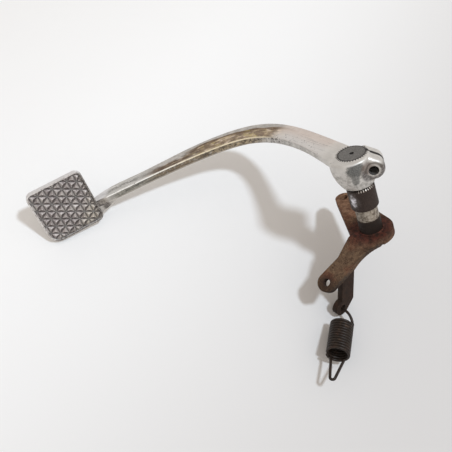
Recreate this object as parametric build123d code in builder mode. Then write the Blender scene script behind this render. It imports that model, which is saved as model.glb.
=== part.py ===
from build123d import *
import math
import os

os.makedirs("parts", exist_ok=True)

# Rear brake pedal with its pivot shaft, lever and return spring.
# Frame: Z runs along the pivot shaft, outboard end up; the origin is the middle of the journal.
# The arm leaves toward -X, and the tread of the pad faces -Y, which is up on the machine.

# Pivot shaft
JOURNAL_R = 9.4
JOURNAL_L = 16.5
SERRATION_R = 9.0
SERRATION_DEPTH = 0.7
SERRATION_COUNT = 36
CONE_L = 1.3
SHAFT_END_Z = 32.75
SHANK_R = 7.9
BAND_R = 7.6
BAND_L = 9.5
END_CHAMFER = 0.6
CENTRE_DRILL_R = 1.4
GROOVE_W = 2.8
GROOVE_ROOM = 0.25
FIT_CLEARANCE = 0.06

# Clamp of the pedal: three round sections, each off centre toward the arm and the front
CLAMP_H = 21.5
CLAMP_TOP_R = 13.4
CLAMP_MID_R = 12.6
CLAMP_LOW_R = 10.9
CLAMP_TOP_SHIFT = 1.9
CLAMP_MID_SHIFT = 2.5
CLAMP_LOW_SHIFT = 0.4
CLAMP_RIM_R = 1.7
EAR_X = 11.0
EAR_DROP = 11.0
EAR_R = 7.4
EAR_FRONT = 9.4
EAR_BACK = 9.0
EAR_EDGE_R = 3.0
PINCH_HOLE_R = 3.25
SLOT_W = 1.4

# Arm of the pedal: path of its middle, then the distances of its back and front edge from the path
ARM_T = 6.0
LEG_ANGLE = 127.5
LEG_1 = 66.0
BOW_R = 63.0
BOW_ANGLE = 75.7
LEG_2 = 98.0
ROOT_BACK = 5.2
ROOT_FRONT = 15.0
FLANK_RUN = 20.0
FLANK_FRONT = 11.6
NECK_1_RUN = 45.0
NECK_1_BACK = 8.0
NECK_1_FRONT = 8.3
BOW_BACK = 11.2
BOW_FRONT = 9.7
ARC_BACK = 9.1
ARC_FRONT = 11.0
NECK_2_RUN = 57.0
NECK_2_BACK = 6.2
NECK_2_FRONT = 8.2
TIP_BACK = -3.0
TIP_FRONT = 8.4
RIDGE_R = 0.8
ARM_EDGE_R = 2.0

# Flare of the arm onto the pad
FLARE_START = 74.0
FLARE_END = 93.0
FLARE_DROP = 3.6
FLARE_H = 12.4
FLARE_W = 8.4

# Tread pad
PAD_ALONG = 16.4
PAD_FRONT = 12.3
PAD_RISE = 10.3
PAD_TWIST = 6.0
PAD_U = 44.4
PAD_V = 44.7
PAD_T = 6.2
PAD_CORNER = 5.0
PAD_LOW_CORNER = 8.5
PAD_BACK_R = 1.2
PAD_RIM_W = 1.0
TREAD_SIDE = 7.0
TREAD_DEPTH = 1.6
TREAD_OVERLAP = 1.08
TREAD_U = -1.5
TREAD_V = 4.0
GROOVES = 11

# Lever plate: hub, rear arm, and front arm bent down; s and w are measured on the bent part
PLATE_TOP_Z = -28.75
PLATE_T = 5.5
HUB_R = 15.0
REAR_X = -16.3
REAR_Y = 47.0
REAR_R = 6.5
REAR_HOLE_R = 3.1
BEND_TURN = -27.0
BEND_OFFSET = 11.0
BEND_ANGLE = 40.0
BEND_R = 5.0
ROOT_S = -4.0
ROOT_W = 1.0
ROOT_R = 11.4
MIDDLE_S = 18.3
MIDDLE_W = -12.5
MIDDLE_R = 6.5
EYE_S = 33.6
EYE_W = -24.1
EYE_R = 6.9
EYE_HOLE_R = 2.75
WAIST_S = 39.2
WAIST_W = 30.2
WAIST_R = 41.0
WELD_LEG = 1.2

# Spring tab
TAB_T = 4.5
TAB_W = 12.0
TAB_SHIFT = 5.0
TAB_FOOT = 1.5
TAB_FOOT_R = 2.5
TAB_EYE_R = 6.5
TAB_HOLE_R = 2.3
TAB_LEAN = 14.0
TAB_TURN = 46.0
TAB_X = -34.8
TAB_Y = -14.9
TAB_Z = -81.4
TAB_WELD = 1.4

# Return spring
WIRE_R = 1.0
WIRE_SIDES = 8
COIL_R = 7.5
COIL_PITCH = 2.1
COILS = 12.5
COIL_TOP_X = -35.5
COIL_TOP_Y = -30.0
COIL_TOP_Z = -84.5
COIL_LEAN_X = -0.215
COIL_LEAN_Z = -0.13
HOOK_TIP = 2.4
HOOK_REACH = 2.8
LOOP_SIDE = -4.2
LOOP_START = 5.0
LOOP_RUN = 12.5
LOOP_LEAN = 5.0
LOOP_R = 1.8
LOOP_SPREAD = 22.0
LOOP_RETURN = 15.0

# Heights and directions that follow from the sizes above
CLAMP_LOW_Z = SHAFT_END_Z - CLAMP_H
PINCH_Z = SHAFT_END_Z - EAR_DROP
JOURNAL_HALF = JOURNAL_L / 2
PLATE_LOW_Z = PLATE_TOP_Z - PLATE_T
UP = Vector(0, 0, 1)


def serration(outer, depth):
    """Corners of a serrated section."""
    step = math.radians(360 / SERRATION_COUNT)
    corners = []
    for k in range(SERRATION_COUNT):
        for turn, radius in ((0, outer), (0.5, outer - depth)):
            angle = (k + turn) * step
            corners.append((radius * math.cos(angle), radius * math.sin(angle)))
    return corners


# Pivot shaft: serrated end with the groove for the pinch bolt, cone, journal, bright band and shank
with BuildPart() as shaft:
    with BuildSketch(Plane.XY.offset(JOURNAL_HALF)):
        Polygon(*serration(SERRATION_R, SERRATION_DEPTH), align=None)
    extrude(amount=SHAFT_END_Z - JOURNAL_HALF)
    with BuildSketch(Plane.XZ):
        with BuildLine():
            Polyline(
                (0, JOURNAL_HALF + CONE_L),
                (SERRATION_R - SERRATION_DEPTH - 0.1, JOURNAL_HALF + CONE_L),
                (JOURNAL_R, JOURNAL_HALF),
                (JOURNAL_R, END_CHAMFER - JOURNAL_HALF),
                (JOURNAL_R - END_CHAMFER, -JOURNAL_HALF),
                (BAND_R, -JOURNAL_HALF),
                (BAND_R, -JOURNAL_HALF - BAND_L),
                (SHANK_R, -JOURNAL_HALF - BAND_L),
                (SHANK_R, PLATE_LOW_Z),
                (SHANK_R - END_CHAMFER, PLATE_LOW_Z - END_CHAMFER),
                (0, PLATE_LOW_Z - END_CHAMFER),
                close=True,
            )
        make_face()
    revolve(axis=Axis.Z)
    groove_floor = EAR_X - PINCH_HOLE_R - GROOVE_ROOM
    groove_mouth = GROOVE_W / 2 + JOURNAL_R - groove_floor
    with BuildSketch(Plane.XZ):
        with Locations((0, PINCH_Z)):
            Polygon(
                (groove_floor, -GROOVE_W / 2),
                (JOURNAL_R, -groove_mouth),
                (JOURNAL_R, groove_mouth),
                (groove_floor, GROOVE_W / 2),
                align=None,
            )
    revolve(axis=Axis.Z, mode=Mode.SUBTRACT)
    with Locations((0, 0, SHAFT_END_Z - CENTRE_DRILL_R)):
        Cone(0.1, CENTRE_DRILL_R, 2 * CENTRE_DRILL_R, mode=Mode.SUBTRACT)
shaft.part.label = "shaft"
export_step(shaft.part, "parts/shaft.step")


# Path of the arm: a leg from the clamp, the bow, and a leg to the pad
with BuildLine(Plane.XY.offset(SHAFT_END_Z - ARM_T / 2)) as arm_path:
    leg_1 = PolarLine((0, 0), LEG_1, LEG_ANGLE)
    bow = JernArc(leg_1 @ 1, leg_1 % 1, BOW_R, BOW_ANGLE)
    PolarLine(bow @ 1, LEG_2, LEG_ANGLE + BOW_ANGLE)
arm_line = arm_path.wires()[0]
bow_run = BOW_R * math.radians(BOW_ANGLE)
leg_2_run = LEG_1 + bow_run


def arm_plane(run):
    """Plane across the arm at a distance along its path; x points to the back edge, y down."""
    share = run / arm_line.length
    along = arm_line.tangent_at(share)
    return Plane(origin=arm_line.position_at(share), x_dir=along.cross(UP), z_dir=along)


def arm_edge(*stations):
    """Points of one edge of the arm, from pairs of run and distance from the path."""
    return [arm_plane(run).from_local_coords((away, 0, 0)) for run, away in stations]


back_edge = arm_edge(
    (0, ROOT_BACK),
    (NECK_1_RUN, NECK_1_BACK),
    (LEG_1 + bow_run / 2, BOW_BACK),
    (leg_2_run, ARC_BACK),
    (leg_2_run + NECK_2_RUN, NECK_2_BACK),
    (leg_2_run + FLARE_START, NECK_2_BACK),
    (leg_2_run + LEG_2, TIP_BACK),
)
front_edge = arm_edge(
    (0, -ROOT_FRONT),
    (FLANK_RUN, -FLANK_FRONT),
    (NECK_1_RUN, -NECK_1_FRONT),
    (LEG_1 + bow_run / 2, -BOW_FRONT),
    (leg_2_run, -ARC_FRONT),
    (leg_2_run + NECK_2_RUN, -NECK_2_FRONT),
    (leg_2_run + LEG_2, -TIP_FRONT),
)

# Tread pad: a plate with three sets of V grooves that leave three-sided pyramids
pad_turn = math.radians(LEG_ANGLE + BOW_ANGLE - 180 + PAD_TWIST)
pad_plane = Plane(
    origin=arm_plane(arm_line.length).from_local_coords((-PAD_FRONT, -PAD_RISE, PAD_ALONG)),
    x_dir=(math.cos(pad_turn), math.sin(pad_turn), 0),
    z_dir=(math.sin(pad_turn), -math.cos(pad_turn), 0),
)
groove_pitch = TREAD_SIDE * math.sqrt(3) / 2
groove_half = TREAD_OVERLAP * groove_pitch / 3
with BuildPart() as pad:
    with BuildSketch(pad_plane) as outline:
        Rectangle(PAD_U, PAD_V)
        far_corners = vertices().sort_by(Axis.X)[:2].sort_by(Axis.Y)
        fillet(far_corners[0], PAD_LOW_CORNER)
        high_corner = vertices().sort_by(Axis.Y)[-2:].sort_by(Axis.X)[0]
        fillet(vertices().sort_by(Axis.X)[-2:] + [high_corner], PAD_CORNER)
    extrude(amount=-PAD_T)
    fillet(faces().sort_by(Axis(pad_plane.origin, pad_plane.z_dir))[0].edges(), PAD_BACK_R)
    for turn in (0, 60, 120):
        angle = math.radians(turn)
        across = pad_plane.x_dir * math.cos(angle) + pad_plane.y_dir * math.sin(angle)
        along = pad_plane.y_dir * math.cos(angle) - pad_plane.x_dir * math.sin(angle)
        centre = pad_plane.from_local_coords((TREAD_U, TREAD_V, 0))
        with BuildSketch(Plane(origin=centre, x_dir=across, z_dir=along)):
            with GridLocations(groove_pitch, 0, GROOVES, 1):
                Polygon((-groove_half, 0), (groove_half, 0), (0, TREAD_DEPTH), align=None)
        extrude(amount=2 * PAD_U, both=True, mode=Mode.SUBTRACT)
    with BuildSketch(pad_plane):
        add(outline.sketch_local)
        offset(outline.sketch_local, amount=-PAD_RIM_W, mode=Mode.SUBTRACT)
    extrude(amount=-TREAD_DEPTH)

# Clamp: a round boss with rounded rim and an ear for the pinch bolt
with BuildPart() as clamp:
    for shift, radius, height in (
        (CLAMP_TOP_SHIFT, CLAMP_TOP_R, SHAFT_END_Z),
        (CLAMP_MID_SHIFT, CLAMP_MID_R, SHAFT_END_Z - CLAMP_H / 2),
        (CLAMP_LOW_SHIFT, CLAMP_LOW_R, CLAMP_LOW_Z),
    ):
        with BuildSketch(Plane.XY.offset(height)):
            with Locations((-shift, -min(shift, CLAMP_TOP_SHIFT))):
                Circle(radius)
    loft()
    fillet(faces().sort_by(Axis.Z)[-1].edges(), CLAMP_RIM_R)
with BuildPart() as ear:
    with BuildSketch(Plane.XZ.offset(-EAR_BACK)):
        with BuildSketch(mode=Mode.ADD):
            with Locations((EAR_X, PINCH_Z)):
                Circle(EAR_R)
            with Locations((SERRATION_R / 2, SHAFT_END_Z - EAR_DROP / 2 - 0.3)):
                Rectangle(SERRATION_R, EAR_DROP)
            make_hull()
    extrude(amount=EAR_FRONT + EAR_BACK)
    fillet(faces().sort_by(Axis.Y)[0].edges(), EAR_EDGE_R)
    fillet(faces().sort_by(Axis.Y)[-1].edges(), EAR_EDGE_R)

# Pedal: pad, arm and clamp in one casting, with the serrated bore, the slot and the hole of the pinch bolt
with BuildPart() as pedal:
    with BuildSketch(Plane.XY.offset(SHAFT_END_Z - ARM_T)):
        with BuildLine():
            front = Spline(front_edge)
            back = Spline(back_edge)
            Line(front @ 0, back @ 0)
            Line(front @ 1, back @ 1)
        make_face()
    extrude(amount=ARM_T)
    long_edges = edges().filter_by(GeomType.BSPLINE)
    ridge = long_edges.group_by(Axis.Z)[-1].sort_by(Axis.Y)[0]
    fillet(ridge, RIDGE_R)
    fillet(edges().filter_by(GeomType.BSPLINE).group_by(Axis.Z)[0], ARM_EDGE_R)
    for run, drop, width, height in (
        (leg_2_run + FLARE_START, 0, NECK_2_BACK + NECK_2_FRONT - 2 * RIDGE_R, ARM_T - 2 * RIDGE_R),
        (leg_2_run + FLARE_END, FLARE_DROP, FLARE_W, FLARE_H),
    ):
        with BuildSketch(arm_plane(run)):
            with Locations((width / 2 - TIP_FRONT + RIDGE_R, drop)):
                RectangleRounded(width, height, 2.0)
    loft()
    add(clamp.part)
    add(ear.part)
    with BuildSketch(Plane.XY.offset(CLAMP_LOW_Z - 1)):
        Polygon(*serration(SERRATION_R + FIT_CLEARANCE, SERRATION_DEPTH), align=None)
    extrude(amount=CLAMP_H + 2, mode=Mode.SUBTRACT)
    with Locations((EAR_X + EAR_R, 0, PINCH_Z)):
        Box(2 * EAR_R + EAR_X, SLOT_W, 4 * EAR_R, mode=Mode.SUBTRACT)
    with BuildSketch(Plane.XZ):
        with Locations((EAR_X, PINCH_Z)):
            Circle(PINCH_HOLE_R)
    extrude(amount=2 * EAR_FRONT, both=True, mode=Mode.SUBTRACT)
    add(pad.part)
pedal.part.label = "pedal"
export_step(pedal.part, "parts/pedal.step")


# Lever: a bent sheet cut to the outline of hub and arms
bend_turn = math.radians(BEND_TURN)
bend = math.radians(BEND_ANGLE)
off_hub = Vector(math.sin(bend_turn), -math.cos(bend_turn), 0)
fold = UP * PLATE_TOP_Z + off_hub * BEND_OFFSET
front_along = off_hub * math.cos(bend) - UP * math.sin(bend)
front_normal = UP * math.cos(bend) + off_hub * math.sin(bend)
front_plane = Plane(origin=fold, x_dir=front_along, z_dir=front_normal)
sheet_plane = Plane(origin=(0, 0, PLATE_TOP_Z), x_dir=off_hub, z_dir=off_hub.cross(UP))
flat_end = BEND_OFFSET - BEND_R * math.tan(bend / 2)
with BuildPart() as lever:
    with BuildSketch(sheet_plane):
        with BuildLine():
            flat = Line((-2 * REAR_Y, 0), (flat_end, 0))
            turn_arc = JernArc(flat @ 1, flat % 1, BEND_R, -BEND_ANGLE)
            PolarLine(turn_arc @ 1, 2 * EYE_S, -BEND_ANGLE)
            offset(amount=PLATE_T, side=Side.RIGHT)
        make_face()
    extrude(amount=2 * REAR_Y, both=True)
    with BuildPart(mode=Mode.INTERSECT):
        with BuildSketch(Plane.XY.offset(PLATE_LOW_Z - 1)):
            with BuildSketch():
                Circle(HUB_R)
                with Locations((REAR_X, REAR_Y)):
                    Circle(REAR_R)
                make_hull()
            with Locations(off_hub * (flat_end + HUB_R)):
                Rectangle(2 * HUB_R, 4 * HUB_R, rotation=BEND_TURN - 90, mode=Mode.SUBTRACT)
        extrude(amount=PLATE_T + 2)
        with BuildSketch(front_plane):
            with BuildSketch():
                with Locations((ROOT_S, ROOT_W)):
                    Circle(ROOT_R)
                with Locations((MIDDLE_S, MIDDLE_W)):
                    Circle(MIDDLE_R)
                make_hull()
            with BuildSketch():
                with Locations((MIDDLE_S, MIDDLE_W)):
                    Circle(MIDDLE_R)
                with Locations((EYE_S, EYE_W)):
                    Circle(EYE_R)
                make_hull()
            with Locations((WAIST_S, WAIST_W)):
                Circle(WAIST_R, mode=Mode.SUBTRACT)
        extrude(amount=2 * PLATE_T, both=True)
    with Locations((0, 0, PLATE_TOP_Z)):
        Cylinder(SHANK_R + FIT_CLEARANCE, 3 * PLATE_T, mode=Mode.SUBTRACT)
    with Locations((REAR_X, REAR_Y, PLATE_TOP_Z)):
        Cylinder(REAR_HOLE_R, 3 * PLATE_T, mode=Mode.SUBTRACT)
    with BuildSketch(front_plane):
        with Locations((EYE_S, EYE_W)):
            Circle(EYE_HOLE_R)
    extrude(amount=2 * PLATE_T, both=True, mode=Mode.SUBTRACT)
lever.part.label = "lever"
export_step(lever.part, "parts/lever.step")

# Weld bead between shank and hub
with BuildPart() as hub_weld:
    with BuildSketch(Plane.XZ):
        with BuildLine():
            Polyline(
                (SHANK_R, PLATE_TOP_Z),
                (SHANK_R + WELD_LEG, PLATE_TOP_Z),
                (SHANK_R + 0.7 * WELD_LEG, PLATE_TOP_Z + 0.7 * WELD_LEG),
                (SHANK_R, PLATE_TOP_Z + WELD_LEG),
                close=True,
            )
        make_face()
    revolve(axis=Axis.Z)
hub_weld.part.label = "hub_weld"
export_step(hub_weld.part, "parts/hub_weld.step")


# Spring tab: a bar on the underside of the front arm, with a round eye to one side of its foot
lean = math.radians(TAB_LEAN)
tab_turn = math.radians(TAB_TURN)
tab_up = Vector(math.sin(lean), 0, math.cos(lean))
tab_axis = Vector(math.cos(tab_turn) * math.cos(lean), -math.sin(tab_turn), -math.cos(tab_turn) * math.sin(lean))
tab_hole = Vector(TAB_X, TAB_Y, TAB_Z)
tab_plane = Plane(origin=tab_hole, x_dir=tab_up, z_dir=tab_axis)
under_plane = Plane(origin=fold - front_normal * PLATE_T, x_dir=front_along, z_dir=front_normal)
with BuildPart() as tab:
    with BuildSketch(tab_plane):
        with BuildSketch():
            Circle(TAB_EYE_R)
            with Locations((TAB_FOOT + TAB_FOOT_R, -TAB_SHIFT)):
                RectangleRounded(2 * TAB_FOOT_R + 0.1, TAB_W, TAB_FOOT_R)
            make_hull()
        with Locations((TAB_FOOT + TAB_FOOT_R, -TAB_SHIFT)):
            Rectangle(2 * EYE_S, TAB_W, align=(Align.MIN, Align.CENTER))
        Circle(TAB_HOLE_R, mode=Mode.SUBTRACT)
    extrude(amount=TAB_T / 2, both=True)
    split(bisect_by=under_plane, keep=Keep.BOTTOM)
tab.part.label = "spring_tab"
export_step(tab.part, "parts/spring_tab.step")

# Weld bead between tab and front arm
with BuildPart() as tab_weld:
    with BuildSketch(tab_plane):
        with Locations((0, -TAB_SHIFT)):
            Rectangle(2 * EYE_S, TAB_W + 2 * TAB_WELD, align=(Align.MIN, Align.CENTER))
    extrude(amount=TAB_T / 2 + TAB_WELD, both=True)
    split(bisect_by=under_plane, keep=Keep.BOTTOM)
    split(bisect_by=under_plane.offset(-TAB_WELD), keep=Keep.TOP)
    with BuildSketch(tab_plane):
        with Locations((0, -TAB_SHIFT)):
            Rectangle(2 * EYE_S, TAB_W, align=(Align.MIN, Align.CENTER))
    extrude(amount=TAB_T / 2, both=True, mode=Mode.SUBTRACT)
tab_weld.part.label = "tab_weld"
export_step(tab_weld.part, "parts/tab_weld.step")


def biarc(start, start_way, end, end_way):
    """Point where two arcs meet that lead smoothly from start to end, and their direction there."""
    chord = end - start
    ways = start_way + end_way
    slack = 2 * (1 - start_way.dot(end_way))
    reach = math.sqrt(chord.dot(ways) ** 2 + slack * chord.dot(chord)) - chord.dot(ways)
    first = start + start_way * (reach / slack)
    second = end - end_way * (reach / slack)
    return (first + second) * 0.5, (second - first).normalized()


# Return spring, in its own frame: z along the coil away from the tab, x to the side of the hook
coil_way = Vector(COIL_LEAN_X, -1, COIL_LEAN_Z).normalized()
side_way = (tab_axis - coil_way * tab_axis.dot(coil_way)).normalized()
coil_plane = Plane(origin=(COIL_TOP_X, COIL_TOP_Y, COIL_TOP_Z), x_dir=side_way, z_dir=coil_way)
coil_end = COILS * COIL_PITCH
climb = math.atan(COIL_PITCH / (2 * math.pi * COIL_R))
hook_way = coil_plane.to_local_coords(coil_plane.origin + tab_axis)
hook_pull = (coil_way - tab_axis * tab_axis.dot(coil_way)).normalized() * (TAB_HOLE_R - WIRE_R - 0.3)
hook_middle = coil_plane.to_local_coords(tab_hole + hook_pull)
hook_start = hook_middle - hook_way * (TAB_T / 2 + HOOK_TIP)
hook_exit = hook_middle + hook_way * (TAB_T / 2 + HOOK_REACH)
coil_start = Vector(COIL_R, 0, 0)
coil_start_way = Vector(0, math.cos(climb), math.sin(climb))
hook_joint, hook_joint_way = biarc(hook_exit, hook_way, coil_start, coil_start_way)
coil_stop = Vector(-COIL_R, 0, coil_end)
coil_stop_way = Vector(0, -math.cos(climb), math.sin(climb))
loop_lean = math.radians(LOOP_LEAN)
loop_way = Vector(math.sin(loop_lean), 0, math.cos(loop_lean))
loop_side = Vector(math.cos(loop_lean), 0, -math.sin(loop_lean))
loop_start = Vector(LOOP_SIDE, 0, coil_end + LOOP_START)
loop_turn = loop_start + loop_way * LOOP_RUN
loop_joint, loop_joint_way = biarc(coil_stop, coil_stop_way, loop_start, loop_way)
spread = math.radians(LOOP_SPREAD)
half_turn = (math.pi - spread) / 2
turn_way = loop_side * math.sin(half_turn) + loop_way * math.cos(half_turn)
loop_back = loop_turn + turn_way * (2 * LOOP_R * math.sin(half_turn))
loop_tip = loop_back + (loop_side * math.sin(spread) - loop_way * math.cos(spread)) * LOOP_RETURN
with BuildPart() as spring:
    with BuildLine() as wire_path:
        Line(hook_start, hook_exit)
        TangentArc(hook_exit, hook_joint, tangent=hook_way)
        TangentArc(hook_joint, coil_start, tangent=hook_joint_way)
        Helix(COIL_PITCH, coil_end, COIL_R)
        TangentArc(coil_stop, loop_joint, tangent=coil_stop_way)
        TangentArc(loop_joint, loop_start, tangent=loop_joint_way)
        Line(loop_start, loop_turn)
        TangentArc(loop_turn, loop_back, tangent=loop_way)
        Line(loop_back, loop_tip)
    with BuildSketch(Plane(origin=hook_start, z_dir=hook_way)):
        RegularPolygon(WIRE_R, WIRE_SIDES)
    sweep(path=wire_path.wires()[0], is_frenet=True)
return_spring = coil_plane.location * spring.part
return_spring.label = "return_spring"
export_step(return_spring, "parts/return_spring.step")
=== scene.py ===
# %% [markdown]
# # A rear brake pedal on a white table
# The object is a cast alloy pedal that clamps on a serrated steel shaft. A bent steel lever, a small tab
# and a coil spring sit on the shaft's inner end. The solids come from the CAD model and stay as they are.
# This lesson gives them their looks: table and light first, then the finishes, then the wire and the welds.

# %% Load the solids
import math
from functools import reduce
from types import SimpleNamespace

import bpy
import numpy as np
from mathutils import Matrix, Vector


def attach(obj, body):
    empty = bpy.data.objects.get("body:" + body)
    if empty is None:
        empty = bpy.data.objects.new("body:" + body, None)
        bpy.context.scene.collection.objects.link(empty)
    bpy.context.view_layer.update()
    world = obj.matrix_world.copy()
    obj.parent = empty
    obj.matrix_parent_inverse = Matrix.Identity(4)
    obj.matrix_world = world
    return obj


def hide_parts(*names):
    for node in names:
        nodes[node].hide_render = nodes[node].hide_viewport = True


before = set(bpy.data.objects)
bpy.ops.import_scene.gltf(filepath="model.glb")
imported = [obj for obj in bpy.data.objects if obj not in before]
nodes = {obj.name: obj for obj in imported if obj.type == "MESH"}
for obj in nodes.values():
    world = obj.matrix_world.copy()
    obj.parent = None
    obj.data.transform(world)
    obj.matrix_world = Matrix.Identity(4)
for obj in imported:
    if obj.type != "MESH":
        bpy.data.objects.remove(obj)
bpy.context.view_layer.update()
MM = 0.001
print("solids:", ", ".join(sorted(nodes)))

# %% [markdown]
# ## The camera
# The photograph was taken from above, almost straight down on the table. The camera was fitted to the shaft's
# end face, the journal's sides and the pad's edges, so its three directions are written out as they came.

# %% Place the camera
VIEW_RIGHT = Vector((0.9345, 0.10371, -0.34052))
VIEW_DOWN = Vector((-0.22124, -0.5802, -0.78385))
VIEW_AHEAD = Vector((-0.27886, 0.80785, -0.51925))
EYE = Vector((14.53, -324.33, 209.38)) * MM
FOCAL_LENGTH, SENSOR_WIDTH, NEAREST = 44.6, 36.0, 0.01


def put(name, data):
    """A new object in the scene."""
    made = bpy.data.objects.new(name, data)
    bpy.context.scene.collection.objects.link(made)
    return made


lens = bpy.data.cameras.new("table_camera")
lens.sensor_width, lens.lens, lens.clip_start = SENSOR_WIDTH, FOCAL_LENGTH, NEAREST
camera = put("table_camera", lens)
turned = Matrix((VIEW_RIGHT, -VIEW_DOWN, -VIEW_AHEAD)).transposed()
camera.matrix_world = Matrix.Translation(EYE) @ turned.to_4x4()
bpy.context.scene.camera = camera
bpy.context.scene.view_settings.view_transform = "Standard"
print("camera at", [round(x, 3) for x in EYE])

# %% [markdown]
# ## A bench for node recipes
# Long chains of nodes are hard to read as separate lines. These small functions each place one node in the
# tree that lies on the bench and hand back its output, so that a finish can be written like a recipe. The
# bench also keeps the colour of the finish so far. All lengths in the shader recipes are millimetres.

# %% The bench
bench = SimpleNamespace(tree=None, tone=None)


def feed(socket, value):
    """Links an output to a socket, or sets the socket to a constant."""
    if isinstance(value, bpy.types.NodeSocket):
        bench.tree.links.new(value, socket)
    else:
        socket.default_value = value


def fill(made, inputs):
    """Feeds several sockets of a node."""
    for key, value in inputs.items():
        feed(made.inputs[key], value)


def node(kind, inputs=None, **settings):
    """A new node with its settings and its inputs."""
    made = bench.tree.nodes.new(kind)
    for key, value in settings.items():
        setattr(made, key, value)
    fill(made, inputs or {})
    return made


def group(tree, **values):
    return node("ShaderNodeGroup", values, node_tree=tree).outputs


def tell(title):
    print(title + ":", len(bench.tree.nodes), "nodes so far")


print("the bench is ready, and empty:", bench.tree is None)

# %% [markdown]
# A mask is a number from 0 to 1 at every point. Masks are multiplied where all of them must hold, and the
# largest counts where any of them will do.

# %% Numbers and masks
def calc(how, first, second=0.0):
    return node("ShaderNodeMath", {0: first, 1: second}, operation=how).outputs[0]


def plus(first, second):
    return calc("ADD", first, second)


def minus(first, second):
    return calc("SUBTRACT", first, second)


def times(first, second):
    return calc("MULTIPLY", first, second)


def all_of(*masks):
    return reduce(times, masks)


def any_of(*masks):
    return reduce(lambda one, other: calc("MAXIMUM", one, other), masks)


def blend(amount, first, second):
    return node("ShaderNodeMix", {0: amount, 2: first, 3: second}, data_type="FLOAT").outputs[0]


def step(value, low, high):
    """A soft step: 0 at low and 1 at high."""
    return node("ShaderNodeMapRange", {"Value": value, "From Min": low, "From Max": high},
                interpolation_type="SMOOTHSTEP").outputs["Result"]


def between(value, low, high, soft):
    return all_of(step(value, low - soft, low + soft), step(value, high + soft, high - soft))


print("masks ready")

# %% [markdown]
# Places are vectors in millimetres, taken from the object's own coordinates, so a finish moves with its
# piece.

# %% Places
def vector(how, first, second=(0.0, 0.0, 0.0)):
    return node("ShaderNodeVectorMath", {0: first, 1: second}, operation=how).outputs


def dot(place, way):
    return vector("DOT_PRODUCT", place, way)["Value"]


def shifted(place, by):
    return vector("ADD", place, by)[0]


def stretched(place, sizes):
    return vector("DIVIDE", place, sizes)[0]


def length(place, sizes=(1.0, 1.0, 1.0)):
    return vector("LENGTH", vector("MULTIPLY", place, sizes)[0])["Value"]


def far_from(place, centre, radii):
    """How far a point lies from a centre: 1 on the ellipsoid with these radii."""
    return length(shifted(place, [-c for c in centre]), [1 / r for r in radii])


def parts_of(place):
    return node("ShaderNodeSeparateXYZ", {0: place}).outputs


def millimetres():
    place = node("ShaderNodeTexCoord").outputs["Object"]
    return node("ShaderNodeVectorMath", {0: place, "Scale": 1 / MM}, operation="SCALE").outputs[0]


def normal():
    return node("ShaderNodeNewGeometry").outputs["Normal"]


print("places ready")

# %% [markdown]
# Noise breaks up every border. A coat covers the colour on the bench where a mask says so. Bump turns a
# height into a rougher surface. Colours are written as they look on a screen, and a shader needs them
# linear.

# %% Noise, colours and bump
def noise(place, scale, detail=5.0, rough=0.7):
    return node("ShaderNodeTexNoise", {"Vector": place, "Scale": scale, "Detail": detail,
                                       "Roughness": rough}).outputs["Fac"]


def sway(cloudy, amount):
    """A noise round one half, made to swing round zero."""
    return times(minus(cloudy, 0.5), amount)


def mix(amount, first, second):
    return node("ShaderNodeMix", {0: amount, 6: first, 7: second}, data_type="RGBA").outputs[2]


def tones(value, low, high, first, second):
    return mix(step(value, low, high), first, second)


def cover(under, mask, strength, over):
    return mix(times(mask, strength), under, over)


def coat(mask, strength, over):
    bench.tone = cover(bench.tone, mask, strength, over)


def bump(height, strength, depth_mm, start=None):
    made = node("ShaderNodeBump", {"Strength": strength, "Distance": depth_mm * MM, "Height": height})
    if start is not None:
        feed(made.inputs["Normal"], start)
    return made.outputs[0]


def rgb(red, green, blue):
    """A colour as seen on a screen, 0 to 255, made linear for a shader."""
    def linear(part):
        part /= 255
        return part / 12.92 if part <= 0.04045 else ((part + 0.055) / 1.055) ** 2.4
    return (linear(red), linear(green), linear(blue), 1.0)


def new_finish(name):
    """An empty material on the bench, and its Principled shader."""
    finish = bpy.data.materials.new(name)
    finish.use_nodes = True
    bench.tree = finish.node_tree
    return finish, bench.tree.nodes["Principled BSDF"]


print("mid grey is", [round(x, 3) for x in rgb(128, 128, 128)])

# %% [markdown]
# ## Table and light
# The table is a white board. The object lies on its pad, its tab and its spring, so the board is tilted in
# the CAD frame. Its height is measured from the solids: it touches the lowest one.

# %% Measure the table
TABLE_NORMAL = Vector((0.4002, -0.3866, 0.8309)).normalized()
TABLE_GAP = 0.0003
lowest = {}
for name, solid in nodes.items():
    corners_of = np.empty(len(solid.data.vertices) * 3)
    solid.data.vertices.foreach_get("co", corners_of)
    lowest[name] = float((corners_of.reshape(-1, 3) @ np.array(TABLE_NORMAL)).min())
TABLE_DROP = min(lowest.values()) - TABLE_GAP
print("lowest, mm:", {name: round(value / MM, 1) for name, value in lowest.items()})

# %% [markdown]
# The board is one square face, and no body of the object holds it.

# %% The table
TABLE_HALF = 1.4
across = TABLE_NORMAL.cross(Vector((0, 1, 0))).normalized()
along = TABLE_NORMAL.cross(across)
middle = Vector((-0.1, 0.02, 0))
middle += TABLE_NORMAL * (TABLE_DROP - middle.dot(TABLE_NORMAL))
corners = [middle + across * TABLE_HALF * a + along * TABLE_HALF * b
           for a, b in ((-1, -1), (1, -1), (1, 1), (-1, 1))]
board = bpy.data.meshes.new("table_board")
board.from_pydata([tuple(c) for c in corners], [], [(0, 1, 2, 3)])
if board.polygons[0].normal.dot(TABLE_NORMAL) < 0:
    board.flip_normals()
table = put("table_board", board)
print("table", round(2 * TABLE_HALF, 2), "m wide, drop %.1f mm" % (TABLE_DROP / MM))
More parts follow.
